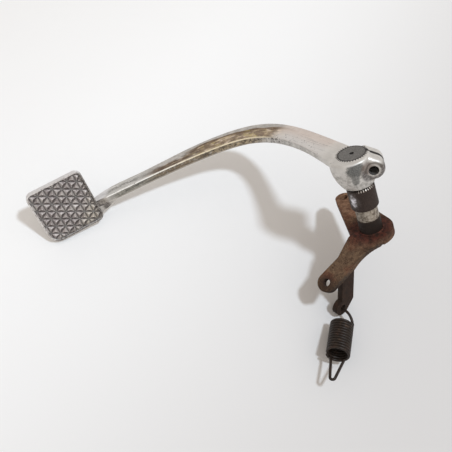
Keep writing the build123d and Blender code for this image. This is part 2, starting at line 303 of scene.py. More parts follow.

# %% [markdown]
# The white is painted greyer toward the lower right, a painted shade for light that falls off there, as it
# does in the photograph. A view from below looks through the board, because its back is clear.

# %% White of the table
SHADE_WAY = VIEW_RIGHT * 0.75 + VIEW_DOWN * 0.66
SHADE_FROM, SHADE_TO = -215, 170
white_board, principled = new_finish("white_board")
place = millimetres()
# Painted shade: the board's white darkens toward the lower right.
painted_falloff = dot(place, SHADE_WAY)
bench.tone = tones(painted_falloff, SHADE_FROM, SHADE_TO, rgb(253, 254, 255), rgb(210, 208, 207))
coat(noise(place, 0.02, detail=2, rough=0.55), 0.04, rgb(225, 222, 218))
fill(principled, {"Base Color": bench.tone, "Roughness": 0.75, "Specular IOR Level": 0.15})
from_below = node("ShaderNodeNewGeometry").outputs["Backfacing"]
clear = node("ShaderNodeBsdfTransparent").outputs[0]
choice = node("ShaderNodeMixShader", {0: from_below, 1: principled.outputs[0], 2: clear})
fill(white_board.node_tree.nodes["Material Output"], {"Surface": choice.outputs[0]})
board.materials.append(white_board)
tell(white_board.name)

# %% [markdown]
# One lamp stands about a metre away, to the upper right of the camera, and throws a fairly crisp shadow to
# the lower left. Its place was fitted to the shadow in the photograph.

# %% The lamp
LAMP_WAY = Vector((-0.6585, 0.4675, -0.5898)).normalized()
LAMP_FAR, LAMP_SIZE, LAMP_WATTS = 1.2, 0.12, 7.8
LAMP_AIM = Vector((-0.08, 0, 0))
lamp = bpy.data.lights.new("softbox", "AREA")
lamp.shape = "DISK"
lamp.size = LAMP_SIZE
lamp.energy = LAMP_WATTS
lamp.color = (0.80, 0.90, 1)
softbox = put("softbox", lamp)
softbox.visible_camera = False
turned = LAMP_WAY.to_track_quat("-Z", "Y").to_matrix().to_4x4()
softbox.matrix_world = Matrix.Translation(LAMP_AIM - LAMP_WAY * LAMP_FAR) @ turned
print("lamp", LAMP_WATTS, "W at", LAMP_FAR, "m")

# %% [markdown]
# The room fills the rest with warm light. It is a little brighter on the lamp's side, so that bare metal has
# something to reflect.

# %% The room
DIM_SIDE, LIT_SIDE = (0.49, 0.452, 0.416, 1), (0.68, 0.627, 0.576, 1)
room = bpy.data.worlds.new("room")
bpy.context.scene.world = room
room.use_nodes = True
bench.tree = room.node_tree
way_out = node("ShaderNodeTexCoord").outputs["Generated"]
room_light = tones(dot(way_out, -LAMP_WAY), -0.9, 1, DIM_SIDE, LIT_SIDE)
fill(room.node_tree.nodes["Background"], {"Color": room_light})
tell(room.name)

# %% [markdown]
# ## Shared effects
# Old metal shows the same few things everywhere: cloudy patches, pits, rust and rubbed edges. Each is one
# node group with its own inputs, so that every finish can use it at its own size.

# %% Helper for a group
FLOAT, COLOR, VECTOR = "NodeSocketFloat", "NodeSocketColor", "NodeSocketVector"


def new_group(name, inputs, outputs):
    """A shader group. Inputs are names with a default number or VECTOR, outputs are names with a kind."""
    tree = bpy.data.node_groups.new(name, "ShaderNodeTree")
    for key, value in inputs.items():
        kind = value if value == VECTOR else FLOAT
        made = tree.interface.new_socket(key, in_out="INPUT", socket_type=kind)
        if kind == FLOAT:
            made.default_value = value
    for key, kind in outputs.items():
        tree.interface.new_socket(key, in_out="OUTPUT", socket_type=kind)
    start = tree.nodes.new("NodeGroupInput")
    end = tree.nodes.new("NodeGroupOutput")
    bench.tree = tree
    return tree, start.outputs, end


print("sockets:", FLOAT, COLOR, VECTOR)

# %% [markdown]
# Patches: a cloudy noise, cut at a level so that a wanted share of the surface is covered. A second, finer
# noise frays the border, as a stain's edge does.

# %% Patches
FRAY_FINER, FRAY_DEPTH, NOISE_SPREAD = 7, 0.28, 0.55
patches, given, result = new_group(
    "patches", {"Place": VECTOR, "Size": 8, "Cover": 0.5, "Soft": 0.08}, {"Mask": FLOAT})
scale = calc("DIVIDE", 1, given["Size"])
cloud = noise(given["Place"], scale, detail=3, rough=0.55)
fray = noise(given["Place"], times(scale, FRAY_FINER), detail=4)
level = plus(cloud, sway(fray, FRAY_DEPTH))
border = plus(times(minus(0.5, given["Cover"]), NOISE_SPREAD), 0.5)
low, high = minus(border, given["Soft"]), plus(border, given["Soft"])
fill(result, {"Mask": step(level, low, high)})


def patch(place, size, cover, soft):
    """The mask of cloudy patches on a finish."""
    return group(patches, Place=place, Size=size, Cover=cover, Soft=soft)["Mask"]


tell(patches.name)

# %% [markdown]
# Pits: cells of a Voronoi pattern, of which only some hold a small round pit. The group gives a mask for
# the dark floor of the pits and a height for the bump.

# %% Pits
PIT_LEAST, PIT_SPREAD, PIT_FLOOR = 0.16, 0.24, 0.4
pits, given, result = new_group(
    "pits", {"Place": VECTOR, "Size": 1.2, "Share": 0.3}, {"Mask": FLOAT, "Height": FLOAT})
wobble = node("ShaderNodeTexNoise", {"Vector": given["Place"], "Scale": 0.9}).outputs["Color"]
cells = node("ShaderNodeTexVoronoi", {"Vector": shifted(given["Place"], wobble),
                                      "Scale": calc("DIVIDE", 1, given["Size"])})
dice = node("ShaderNodeSeparateColor", {0: cells.outputs["Color"]}).outputs
chosen = calc("LESS_THAN", dice[0], given["Share"])
width = plus(PIT_LEAST, times(dice[1], PIT_SPREAD))
hollow = times(step(cells.outputs["Distance"], width, times(width, PIT_FLOOR)), chosen)
fill(result, {"Mask": hollow, "Height": minus(1, hollow)})
tell(pits.name)

# %% [markdown]
# Edge wear: a real edge is never quite sharp, and hands and boots rub it bright. The Bevel node looks at
# the surface round a point and gives a rounded normal without any change to the solid. Where that differs
# from the true normal, there is an edge.

# %% Edge wear
edge_wear, given, result = new_group("edge_wear", {"Radius": 0.5}, {"Mask": FLOAT, "Normal": VECTOR})
rounded = node("ShaderNodeBevel", {"Radius": times(given["Radius"], MM)}, samples=4).outputs[0]
sharp = dot(rounded, normal())
fill(result, {"Mask": step(sharp, 0.985, 0.86), "Normal": rounded})
tell(edge_wear.name)

# %% [markdown]
# Rust: brown steel with redder patches, dark oily spots and a fine scaly grain. The group gives a colour, a
# roughness and a height, and every rusty piece mixes them into its own shader.

# %% Rust
rust, given, result = new_group(
    "rust", {"Place": VECTOR, "Size": 9, "Red": 0.35, "Dark": 0.35},
    {"Color": COLOR, "Roughness": FLOAT, "Height": FLOAT})
place = given["Place"]
grain = noise(place, 1.9, detail=6)
flecks = noise(shifted(place, (7, 3, 11)), 0.8, rough=0.75)
bench.tone = tones(grain, 0.34, 0.66, rgb(50, 37, 29), rgb(112, 88, 68))
coat(step(flecks, 0.55, 0.66), 0.6, rgb(160, 134, 106))
red_mask = patch(place, given["Size"], given["Red"], 0.12)
coat(red_mask, 0.8, tones(grain, 0.35, 0.65, rgb(52, 26, 21), rgb(124, 74, 54)))
away = shifted(place, (31, 17, 53))
dark_mask = patch(away, times(given["Size"], 0.7), given["Dark"], 0.14)
coat(dark_mask, 0.75, rgb(36, 27, 22))
spots = group(pits, Place=place, Size=1.6, Share=0.4)
coat(spots["Mask"], 0.7, rgb(26, 20, 17))
fill(result, {"Color": bench.tone, "Roughness": blend(dark_mask, 0.78, 0.5),
              "Height": plus(times(grain, 0.7), spots["Height"])})
tell(rust.name)

# %% [markdown]
# ## The arm's own directions
# Scratches and stains on the arm follow its bow. The arm's middle line is a straight leg, an arc and
# another straight leg, with the sizes of the CAD model. Each leg has a direction along it and one to its
# back edge.

# %% Line of the arm
LEG_TURN, BOW_TURN = math.radians(127.5), math.radians(75.7)
LEG_1, BOW_R = 66, 63


def arm_ways(turn):
    """Directions along the arm and to its back edge."""
    return Vector((math.cos(turn), math.sin(turn), 0)), Vector((math.sin(turn), -math.cos(turn), 0))


first_along, first_back = arm_ways(LEG_TURN)
second_along, second_back = arm_ways(LEG_TURN + BOW_TURN)
bow_middle = first_along * LEG_1 - first_back * BOW_R
second_start = bow_middle + second_back * BOW_R
print("bow middle", [round(x, 2) for x in bow_middle])

# %% [markdown]
# Arm map: the group measures how far along the line a point lies, and how far to its back (plus) or front
# (minus). It works this out for each of the three stretches and picks the one that the point is on.

# %% Arm map
arm_map, given, result = new_group(
    "arm_map", {"Place": VECTOR}, {"Run": FLOAT, "Across": FLOAT, "Flow": VECTOR})
place = given["Place"]
first_run, first_off = dot(place, first_along), dot(place, first_back)
x_bow, y_bow, z_mm = parts_of(shifted(place, -bow_middle))
turn = minus(calc("ARCTAN2", y_bow, x_bow), LEG_TURN - math.pi / 2)
bow_run = plus(times(turn, BOW_R), LEG_1)
flat = node("ShaderNodeCombineXYZ", {0: x_bow, 1: y_bow})
bow_off = minus(length(flat.outputs[0]), BOW_R)
from_second = shifted(place, -second_start)
past_bow = dot(from_second, second_along)
second_run = plus(past_bow, LEG_1 + BOW_R * BOW_TURN)
second_off = dot(from_second, second_back)
on_bow = calc("GREATER_THAN", first_run, LEG_1)
on_second = calc("GREATER_THAN", past_bow, 0)
run = blend(on_second, blend(on_bow, first_run, bow_run), second_run)
off = blend(on_second, blend(on_bow, first_off, bow_off), second_off)
flow = node("ShaderNodeCombineXYZ", {0: run, 1: off, 2: z_mm}).outputs[0]
fill(result, {"Run": run, "Across": off, "Flow": flow})
tell(arm_map.name)

# %% [markdown]
# ## The cast alloy of the pedal
# The casting was polished once. Now it is dull, scratched and pitted. Old lacquer has turned brown on the
# bow of the arm, grime sits on its front face, the valleys of the tread are painted dark, and rubbed crests
# shine. Each of these is a coat over the bare metal, put where the photograph shows it. The coats are
# worked out one by one.

# %% Bare metal
cast_alloy, principled = new_finish("cast_alloy")
place = millimetres()
x_mm, y_mm, z_mm = parts_of(place)
true_normal = normal()
normal_z = parts_of(true_normal)[2]
worn = group(edge_wear, Radius=0.45)
mapped = group(arm_map, Place=place)
run, off, flow = mapped["Run"], mapped["Across"], mapped["Flow"]

cloud = noise(place, 0.2, rough=0.65)
fine = noise(place, 1.4)
mottle = noise(shifted(place, (3, 19, 8)), 0.6)
streak = noise(stretched(flow, (11, 0.9, 0.9)), 0.8)
thread = noise(stretched(flow, (26, 0.55, 0.55)), 0.8, detail=4, rough=0.65)
bench.tone = tones(cloud, 0.3, 0.75, rgb(176, 172, 167), rgb(214, 210, 205))
coat(step(streak, 0.55, 0.72), 0.35, rgb(138, 133, 127))
coat(step(fine, 0.62, 0.75), 0.25, rgb(128, 122, 116))
tell("bare metal")

# %% [markdown]
# The arm's top face has a clean grey band along its back edge and yellow-brown lacquer in front of it. The
# lacquer ends in a wavering line, and small yellow, cream and brown patches break it up. They are drawn out
# along the arm.

# %% Lacquer on the arm
BOW_FROM, BOW_TO, LEG_FROM, LEG_TO = 69, 158, 150, 196
swing = noise(stretched(flow, (16, 6, 6)), 0.8, detail=3, rough=0.55)
line = plus(off, sway(swing, 9))
on_top = step(normal_z, 0.55, 0.8)
bow = between(plus(run, sway(swing, 30)), BOW_FROM, BOW_TO, 9)
leg = between(run, LEG_FROM, LEG_TO, 12)
brown_bow = all_of(on_top, bow, step(line, 6, 3.6))
brown_leg = all_of(on_top, leg, step(line, 1.5, -2.5))
brown = any_of(brown_bow, times(brown_leg, 0.8))
drawn_out = stretched(flow, (1.7, 1, 1))
yellow = patch(shifted(drawn_out, (5, 40, 9)), size=5, cover=0.3, soft=0.08)
cream = patch(shifted(drawn_out, (60, 3, 20)), size=4, cover=0.34, soft=0.08)
blotch = patch(drawn_out, size=4, cover=0.5, soft=0.07)
gold = tones(streak, 0.36, 0.64, rgb(142, 116, 84), rgb(208, 188, 154))
gold = cover(gold, yellow, 0.7, rgb(204, 184, 100))
gold = cover(gold, cream, 0.75, rgb(232, 212, 192))
gold = cover(gold, blotch, 0.8, tones(fine, 0.35, 0.65, rgb(60, 42, 30), rgb(138, 106, 76)))
coat(brown, 0.88, gold)
tell("lacquer")

# %% [markdown]
# A dark scorched line runs under the grey band, with brown spots on the leg and fine dark threads over all
# the lacquer, where it has cracked along the arm.

# %% Scorched line
scorch_bow = all_of(on_top, bow, between(line, 1.2, 4.6, 1.3), step(streak, 0.36, 0.5))
scorch_leg = all_of(on_top, leg, between(line, -6, -1, 1.6), step(streak, 0.34, 0.5))
scorch = any_of(scorch_bow, scorch_leg)
coat(scorch, 0.85, tones(fine, 0.35, 0.65, rgb(58, 42, 30), rgb(126, 100, 74)))
spotted = all_of(on_top, leg, blotch, between(line, -6.5, 1.5, 1.2))
coat(spotted, 0.75, rgb(88, 69, 52))
threads = all_of(brown, step(thread, 0.54, 0.64))
coat(threads, 0.45, rgb(78, 60, 44))
tell("scorched line")

# %% [markdown]
# Toward the clamp the top face is pale and pinkish with a few long scratches. Toward the pad it is plain
# grey, with soot along its middle.

# %% Ends of the arm
PALE_FROM, PALE_TO = 16, 80
pale = all_of(between(run, PALE_FROM, PALE_TO, 8), step(normal_z, 0.3, 0.7))
coat(pale, 0.75, tones(off, -6, 4, rgb(226, 222, 219), rgb(226, 212, 203)))
scratch = all_of(pale, step(thread, 0.56, 0.66), step(mottle, 0.42, 0.56))
coat(scratch, 0.55, rgb(112, 104, 100))
neck = all_of(step(run, 188, 206), step(run, 250, 244), on_top)
coat(neck, 0.75, tones(streak, 0.4, 0.62, rgb(168, 166, 161), rgb(228, 227, 223)))
soot = all_of(neck, between(line, -4.2, 0.4, 1.6), step(mottle, 0.38, 0.55))
coat(soot, 0.75, rgb(98, 94, 88))
tell("ends of the arm")

# %% [markdown]
# The arm's front face looks down on the machine and catches road dirt. It is darkest near the pad, brown
# along the leg, and spotted under the bow. Toward the clamp it is clean again.

# %% Grime on the front face
front = all_of(step(calc("ABSOLUTE", normal_z), 0.8, 0.5), step(off, 0, -3))
grimy = all_of(front, step(run, 78, 110), step(run, 234, 222))
lumpy = step(plus(times(streak, 0.65), times(mottle, 0.35)), 0.38, 0.62)
bow_grime = mix(lumpy, rgb(92, 78, 57), rgb(184, 164, 130))
leg_grime = mix(lumpy, rgb(56, 44, 31), rgb(128, 108, 78))
pad_grime = mix(lumpy, rgb(54, 52, 45), rgb(142, 138, 126))
grime_tone = tones(run, 130, 155, bow_grime, leg_grime)
grime_tone = tones(run, 182, 205, grime_tone, pad_grime)
grime = all_of(grimy, patch(place, size=2.6, cover=0.85, soft=0.2))
coat(grime, 0.9, grime_tone)
specks = patch(shifted(place, (12, 7, 30)), size=1.9, cover=0.4, soft=0.06)
specks = all_of(specks, front, between(run, 66, 150, 12))
coat(specks, 0.8, rgb(62, 55, 50))
tell("grime")

# %% [markdown]
# Salt and stones have pitted the casting. The pits are thick under the bow and beside the clamp, thinner in
# the lacquer, and scattered elsewhere.

# %% Pits in the casting
pitted = group(pits, Place=place, Size=1.7, Share=0.42)["Mask"]
under_bow = all_of(grimy, step(run, 175, 140))
beside_clamp = all_of(between(run, 20, 84, 10), step(off, 1, -5))
scattered = step(noise(place, 0.09, detail=2, rough=0.55), 0.55, 0.68)
pit_mask = times(pitted, any_of(under_bow, beside_clamp, times(brown, 0.6), scattered))
coat(pit_mask, 0.85, rgb(58, 50, 43))
tell("pits in the casting")

# %% [markdown]
# The ridge between the top and the front face catches the light as one bright, slightly broken line from
# the bow to the pad. That line is a painted highlight: a pale colour, made matt further down. The ridge is
# rounded, so its normal points neither up nor forward, and that finds it. A wide Bevel adds a strip beside
# it.

# %% Painted highlight on the ridge
front_half = step(off, 1, -1.5)
beside_ridge = step(group(edge_wear, Radius=1.4)["Mask"], 0.05, 0.4)
beside_ridge = all_of(beside_ridge, step(normal_z, 0, 0.2))
ridge_highlight = any_of(beside_ridge, between(normal_z, 0.12, 0.95, 0.06))
ridge_highlight = all_of(ridge_highlight, front_half, step(run, 70, 100), step(run, 246, 243), step(mottle, 0.3, 0.44))
# Painted highlight: a pale line along the rounded ridge.
coat(ridge_highlight, 0.9, tones(run, 150, 200, rgb(236, 222, 192), rgb(248, 246, 241)))
# The rounded lower edge of the front face is painted paler.
low_edge = all_of(between(normal_z, -0.9, -0.25, 0.15), front_half, step(run, 100, 130))
coat(low_edge, 0.5, rgb(206, 199, 188))
tell("ridge_highlight")

# %% [markdown]
# The clamp is a boss round the shaft, brighter than the arm. A dark stain has run down its front, and a
# brown tint spreads from there to the ear. Each is an ellipsoid with a ragged border.

# %% Stains on the clamp
near_shaft = length(place, (1, 1, 0))
boss = all_of(step(near_shaft, 26, 20), step(z_mm, 9, 10.5))
coat(boss, 0.5, rgb(226, 223, 218))
dull = patch(place, size=2.6, cover=0.42, soft=0.12)
dull = all_of(dull, boss, step(z_mm, 30.5, 24), step(y_mm, 2, -4))
coat(dull, 0.5, rgb(104, 99, 93))
ragged = sway(noise(place, 0.45), 0.9)
stain_far = plus(far_from(place, (0.2, -13.5, 28.2), (6.2, 7, 6)), ragged)
drip_far = plus(far_from(place, (-1.2, -13.5, 22), (2.8, 6, 7)), ragged)
tint_far = plus(far_from(place, (7.2, -11.5, 24.6), (5.4, 6, 6.2)), ragged)
stain = any_of(step(stain_far, 1.1, 0.7), times(step(drip_far, 1.1, 0.6), 0.8))
stain = all_of(stain, boss, step(z_mm, 32.4, 31.4))
coat(stain, 0.88, tones(fine, 0.35, 0.65, rgb(54, 56, 54), rgb(108, 109, 106)))
tint = all_of(boss, step(tint_far, 1.15, 0.5))
coat(tint, 0.75, rgb(116, 99, 88))
tell("stains")

# %% [markdown]
# Round the bolt hole the ear is dull grey below. The dark brown arc above the hole is a painted shadow line,
# the shade at the edge of a spot face round the hole. The boss is painted darker in patches along its foot.

# %% Marks on the ear
PINCH_X, PINCH_Z = 11, 21.75
from_bolt = length(shifted(place, (-PINCH_X, 0, -PINCH_Z)), (1, 0, 1))
ear_front = all_of(boss, step(y_mm, 0, -4))
ear_grey = all_of(ear_front, step(from_bolt, 9, 7), step(from_bolt, 4, 4.8),
                  step(z_mm, PINCH_Z + 5, PINCH_Z + 1.5))
coat(ear_grey, 0.85, tones(mottle, 0.4, 0.6, rgb(76, 71, 70), rgb(140, 135, 132)))
# Painted shadow line above the bolt hole.
ear_arc_shadow = all_of(ear_front, between(from_bolt, 4.9, 6.1, 0.5), step(z_mm, PINCH_Z - 1, PINCH_Z + 1.5))
coat(ear_arc_shadow, 0.7, rgb(82, 72, 64))
rim_foot = all_of(boss, between(z_mm, 10, 14, 1.6), step(cloud, 0.42, 0.6))
coat(rim_foot, 0.4, rgb(96, 90, 83))
tell("ear")

# %% [markdown]
# The joint round the shaft's teeth is packed with black dirt, and the bolt hole and the slot are painted
# near-black. The joint is a zigzag in the angle round the shaft, so a Ping-Pong of that angle draws it.

# %% Black dirt in the joint, dark hole and slot
TEETH = 36
JOINT_R, JOINT_ZIGZAG = 10.9, 3.3


def tooth_wave(x_mm, y_mm):
    """A zigzag round the shaft, from 0 to 0.5 and back for every tooth."""
    return calc("PINGPONG", times(calc("ARCTAN2", y_mm, x_mm), TEETH / (2 * math.pi)), 0.5)


joint = minus(near_shaft, minus(JOINT_R, times(tooth_wave(x_mm, y_mm), JOINT_ZIGZAG)))
in_joint = all_of(step(z_mm, 30.9, 31.1), step(joint, 0.1, -0.1))
in_hole = all_of(boss, step(from_bolt, 3.42, 3.2))
lips = minus(calc("ABSOLUTE", y_mm), times(ragged, 1.6))
in_slot = all_of(boss, step(lips, 1.9, 1.3), step(x_mm, 6.5, 7.5))
blackened_gaps = any_of(in_hole, in_slot, in_joint)
coat(blackened_gaps, 0.92, rgb(34, 29, 26))
tell("packed dirt")

# %% [markdown]
# The tread's depth can be measured in the shader, because the pad's face is a plane. The solid's own points
# tell where that plane and the pad's right and lower edges are.

# %% Measure the pad
PAD_TURN = math.radians(29.2)
PAD_FACE = Vector((math.sin(PAD_TURN), -math.cos(PAD_TURN), 0))
PAD_RIGHT = Vector((math.cos(PAD_TURN), math.sin(PAD_TURN), 0))
PAD_X, FLAT = -0.19, 0.03
TREAD_DEPTH = 1.6
corner_points = np.array([v.co for v in nodes["pedal"].data.vertices])
pad_points = corner_points[corner_points[:, 0] < PAD_X]
crest = float((pad_points @ np.array(PAD_FACE)).max()) / MM
face_points = pad_points[pad_points @ np.array(PAD_FACE) > (crest - FLAT) * MM]
right_edge = float((face_points @ np.array(PAD_RIGHT)).max()) / MM
bottom_edge = float(face_points[:, 2].min()) / MM
depth = minus(crest, dot(place, PAD_FACE))
to_right = minus(right_edge, dot(place, PAD_RIGHT))
to_low = minus(z_mm, bottom_edge)
facing = step(dot(true_normal, PAD_FACE), 0.2, 0.4)
pad_zone = step(x_mm, -188, -192)
on_pad = all_of(facing, pad_zone, step(depth, 2.2, 1.8))
print("tread crest at %.2f mm along the pad's normal" % crest)

# %% [markdown]
# A thin purple-brown film covers the tread. Every pyramid has three flanks, painted by the way they face as
# light and shade would fall: the one that looks up is painted pale, a painted light; the ones to the sides
# get a mottled painted half-shade; the ones that look down are painted dark, a painted shade. The deeper a
# point lies, the darker it is painted, and only the crests shine.

# %% Film, grease and painted light and shade in the tread
coat(on_pad, 0.5, tones(cloud, 0.35, 0.65, rgb(142, 126, 128), rgb(190, 183, 176)))
uneven = step(mottle, 0.36, 0.64)
# Painted half-shade on the flanks that face sideways.
painted_half_shade_flank = all_of(on_pad, step(normal_z, 0.05, 0.2), step(normal_z, 0.6, 0.45))
coat(painted_half_shade_flank, 0.85, mix(uneven, rgb(88, 76, 77), rgb(188, 176, 172)))
# Painted light on the flanks that look up.
painted_light_flank = all_of(on_pad, step(normal_z, 0.45, 0.6))
coat(painted_light_flank, 0.85, mix(uneven, rgb(166, 154, 152), rgb(250, 243, 238)))
yellowed = all_of(on_pad, step(plus(to_right, to_low), 34, 14))
coat(yellowed, 0.35, rgb(190, 180, 150))
grease = noise(shifted(place, (9, 5, 2)), 0.11, detail=3, rough=0.55)
coat(all_of(on_pad, step(grease, 0.42, 0.6)), 0.28, rgb(78, 60, 66))
# Painted shade on the flanks that look down.
painted_shade_flank = all_of(on_pad, step(normal_z, -0.05, -0.25))
coat(painted_shade_flank, 0.8, mix(uneven, rgb(44, 35, 36), rgb(106, 93, 91)))
valley = all_of(on_pad, step(depth, 0.95, TREAD_DEPTH))
coat(valley, 0.9, mix(fine, rgb(30, 24, 25), rgb(58, 49, 48)))
rubbed = all_of(on_pad, step(depth, 0.55, 0.15), step(mottle, 0.38, 0.54))
coat(rubbed, 0.75, rgb(238, 234, 231))
tell("tread")

# %% [markdown]
# The rim round the tread is bright at the top and on the left. On the right and at the bottom it is dull,
# and the rounded edge there is dull too. The pad's upper side is painted pale.

# %% Rim of the pad
dull_rim = any_of(step(to_right, 3.2, 2), step(to_low, 3.2, 2))
rim_tone = tones(mottle, 0.4, 0.6, rgb(70, 64, 62), rgb(150, 144, 138))
coat(all_of(dull_rim, on_pad), 0.7, rim_tone)
right_wall = step(dot(true_normal, PAD_RIGHT), 0.5, 0.8)
near_rim = all_of(step(x_mm, -180, -184), dull_rim, step(to_right, -0.9, -0.5),
                  any_of(step(depth, 2.6, 1.6), right_wall))
coat(near_rim, 0.75, rim_tone)
pad_side = all_of(pad_zone, step(normal_z, 0.2, 0.6), minus(1, facing))
coat(pad_side, 0.6, rgb(236, 235, 237))
tell("rim")

# %% [markdown]
# Last, the edges are rubbed bright, and the coats decide how metallic and how rough each spot is.

# %% Cast alloy
bright_edge = all_of(worn["Mask"], minus(1, any_of(blackened_gaps, near_rim)))
coat(bright_edge, 0.45, rgb(226, 224, 220))
dirty = any_of(brown, scorch, grime, pit_mask, blackened_gaps, valley, times(on_pad, 0.3),
               times(stain, 0.7), times(tint, 0.6))
matt = any_of(dirty, times(ridge_highlight, 0.9), times(neck, 0.7), times(on_pad, 0.7),
              times(pad_side, 0.7), near_rim, times(painted_light_flank, 0.95), times(pale, 0.45), times(boss, 0.25))
rough = blend(step(streak, 0.3, 0.7), 0.36, 0.52)
height = plus(times(streak, 0.3), times(fine, 0.35))
height = plus(height, times(times(mottle, on_pad), 2.2))
height = minus(height, times(pit_mask, 0.7))
height = minus(height, times(threads, 0.3))
fill(principled, {"Base Color": bench.tone, "Metallic": blend(matt, 0.66, 0.15),
                  "Roughness": blend(dirty, rough, 0.7), "Specular IOR Level": 0.3,
                  "Normal": bump(height, 0.45, 0.3, worn["Normal"])})
tell(cast_alloy.name)

# %% [markdown]
# ## The shaft
# The shaft was turned from one bar, so one finish covers it and changes along its length: a grey end face,
# teeth painted near-black, for dirt in them and as painted shade on the neck under the clamp, a dark journal
# with a rubbed patch, a bright mottled band, and a rusty shank. The tones come first.

# %% Shaft steel
shaft_steel, principled = new_finish("shaft_steel")
place = millimetres()
x_mm, y_mm, z_mm = parts_of(place)
scaly = group(rust, Place=place, Size=6, Red=0.25, Dark=0.75)
rings = noise(stretched(place, (4, 4, 0.25)), 0.9, detail=4, rough=0.55)
fine, mottle = noise(place, 1.3), noise(place, 0.5)
shank_tone = cover(scaly["Color"], step(z_mm, -15, -20), 0.82, rgb(28, 22, 19))
band_tone = tones(mottle, 0.34, 0.66, rgb(98, 88, 76), rgb(190, 181, 168))
band_tone = cover(band_tone, step(rings, 0.55, 0.7), 0.3, rgb(92, 82, 70))
# Painted shade: the band is painted darker on its left side.
painted_shade_side = step(dot(place, (0.95, 0.3, 0)), -3, -7)
band_tone = cover(band_tone, painted_shade_side, 0.45, rgb(84, 74, 64))
oil = tones(fine, 0.3, 0.7, rgb(38, 30, 27), rgb(66, 54, 48))
patch_far = plus(far_from(place, (-6.4, -6.6, 1), (5.2, 5.2, 7.6)), sway(mottle, 1.6))
rubbed = step(patch_far, 1.05, 0.35)
patch_tone = tones(patch_far, 0.65, 0.05, rgb(104, 97, 94), rgb(224, 221, 225))
journal_tone = cover(oil, rubbed, 0.95, patch_tone)
tell("band and journal tones")

# %% [markdown]
# Height along Z tells the zones apart. The lower ends of the teeth are painted bright on the side toward the
# lamp, a painted glint on their flanks. The end face has a dark ring in the teeth and a small dark drill mark
# in its middle.

# %% Zones along the shaft
SHAFT_TOP, JOURNAL_HALF, BAND_LOW = 32.75, 8.25, -17.75
bench.tone = tones(z_mm, -JOURNAL_HALF - 0.05, -JOURNAL_HALF + 0.05, band_tone, journal_tone)
bench.tone = tones(z_mm, BAND_LOW + 0.05, BAND_LOW - 0.05, bench.tone, shank_tone)
# Dirt in the teeth and painted shade: the neck under the clamp is painted near-black.
dirt_and_shade_in_teeth = mix(fine, rgb(34, 28, 25), rgb(52, 44, 39))
bench.tone = tones(z_mm, JOURNAL_HALF - 0.1, JOURNAL_HALF + 0.1, bench.tone, dirt_and_shade_in_teeth)
right_front = step(dot(place, (0.42, -0.9, 0)), 6.4, 8.2)
# Painted glint on the tooth ends that face the lamp.
painted_tooth_glint = all_of(right_front, between(z_mm, 7.5, 9.3, 0.25),
               step(tooth_wave(x_mm, y_mm), 0.24, 0.1), step(mottle, 0.36, 0.5))
coat(painted_tooth_glint, 0.9, rgb(216, 206, 196))
end_face = step(z_mm, SHAFT_TOP - 0.12, SHAFT_TOP - 0.04)
end_tone = tones(fine, 0.35, 0.7, rgb(110, 109, 108), rgb(144, 143, 141))
bench.tone = mix(end_face, bench.tone, end_tone)
near = length(place, (1, 1, 0))
dark_ring = all_of(step(z_mm, SHAFT_TOP - 3, SHAFT_TOP - 2.5), step(near, 8.5, 8.75))
drill = all_of(step(z_mm, SHAFT_TOP - 3.4, SHAFT_TOP - 3.2), step(near, 1.7, 1.3))
blackened_gaps = any_of(dark_ring, drill)
coat(blackened_gaps, 0.85, rgb(30, 27, 25))
tell("zones")

# %% [markdown]
# Where the steel is rubbed clean, and under the painted glint on the teeth, it is metallic and smooth. Fine
# rings from the lathe and a little mottling roughen its surface.

# %% Shaft shader
band = between(z_mm, BAND_LOW, -JOURNAL_HALF, 0.05)
clean = any_of(times(band, 0.8), rubbed, painted_tooth_glint, end_face)
clean = all_of(clean, minus(1, blackened_gaps))
relief = plus(times(rings, 0.5), times(mottle, 0.6))
fill(principled, {"Base Color": bench.tone, "Metallic": blend(clean, 0.15, 0.85),
                  "Roughness": blend(clean, 0.6, 0.36), "Specular IOR Level": 0.25,
                  "Normal": bump(relief, 0.35, 0.25)})
tell(shaft_steel.name)

# %% [markdown]
# ## Rusty steel
# The lever, the tab and the welds are the same old steel. The rear arm is a lighter orange-brown, the hub is
# painted a dark red round the shank, and everything low down toward the spring is painted darker. Their edges
# are a little rounded and rubbed paler, and faces that look sideways and down, toward the table, are painted
# dark, a painted shade.

# %% Rusty steel
REAR_ARM = Vector((-16.3, 47, 0)).normalized()
rusty_steel, principled = new_finish("rusty_steel")
place = millimetres()
_, y_mm, z_mm = parts_of(place)
scaly = group(rust, Place=place, Size=10, Red=0.3, Dark=0.25)
worn = group(edge_wear, Radius=0.9)
mottle = noise(place, 0.28)
uneven = step(mottle, 0.32, 0.68)
bench.tone = scaly["Color"]
rear = step(plus(dot(place, REAR_ARM), times(mottle, 12)), 20, 30)
coat(rear, 0.5, mix(uneven, rgb(92, 54, 38), rgb(168, 128, 100)))
from_shank = plus(length(place, (1, 1, 0)), times(mottle, 7))
# Painted darker round the shank: the hub is dark red there.
dark_round_shank = all_of(step(from_shank, 23.5, 15), step(z_mm, -40, -35))
coat(dark_round_shank, 0.85, mix(uneven, rgb(24, 13, 11), rgb(90, 42, 33)))
ahead = step(plus(y_mm, z_mm), -36, -44)
front_arm = all_of(between(z_mm, -47, -31.5, 3), ahead)
coat(front_arm, 0.4, mix(uneven, rgb(62, 44, 34), rgb(138, 112, 88)))
# Painted darker toward the bottom, toward the spring.
coat(step(z_mm, -46, -58), 0.85, mix(uneven, rgb(17, 11, 9), rgb(44, 29, 23)))
eye_far = plus(length(shifted(place, (37, 20, 52))), times(mottle, 4))
coat(step(eye_far, 10, 5), 0.7, rgb(52, 35, 29))
coat(all_of(worn["Mask"], step(mottle, 0.45, 0.62)), 0.35, rgb(128, 106, 84))
